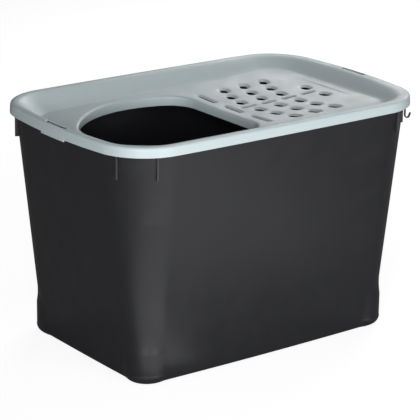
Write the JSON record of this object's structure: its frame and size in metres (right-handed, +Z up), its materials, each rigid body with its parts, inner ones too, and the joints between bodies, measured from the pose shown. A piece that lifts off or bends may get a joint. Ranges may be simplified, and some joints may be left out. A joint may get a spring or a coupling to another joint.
{
  "type": "top entry litter box",
  "caption": "Tapered litter tub with a lift-off dished lid that has an entry hole and a drain pattern, snap tabs on its short sides and a scoop hook on the rim.",
  "frame": {"origin": "under the middle of the box, on the surface that it stands on", "axes": "+X along the long side, from the entry hole's end to the drain pattern's end, +Z up through the lid, -Y out of the long side that the picture shows"},
  "size_m": [0.5904, 0.3826, 0.38],
  "materials": {
    "tub_plastic": "satin",
    "lid_plastic": "satin",
    "hook_plastic": "satin"
  },
  "bodies": {
    "tub_body": {"tub": "tub_plastic", "scoop_hook": "hook_plastic"},
    "lid_body": {"lid": "lid_plastic"},
    "left_tab_body": {"left_snap_tab": "lid_plastic"},
    "right_tab_body": {"right_snap_tab": "lid_plastic"}
  },
  "joints": [
    {"name": "lid_lift", "type": "slide", "parent": "tub_body", "child": "lid_body", "axis": [0, 0, 1], "range_m": [0, 0.1]},
    {"name": "left_tab_flex", "type": "hinge", "parent": "lid_body", "child": "left_tab_body", "pos_m": [-0.294, 0, 0.3757], "axis": [0, 1, 0], "range_deg": [0, 6], "stiffness_Nm_per_rad": 0.3},
    {"name": "right_tab_flex", "type": "hinge", "parent": "lid_body", "child": "right_tab_body", "pos_m": [0.294, 0, 0.3757], "axis": [0, -1, 0], "range_deg": [0, 6], "stiffness_Nm_per_rad": 0.3}
  ]
}
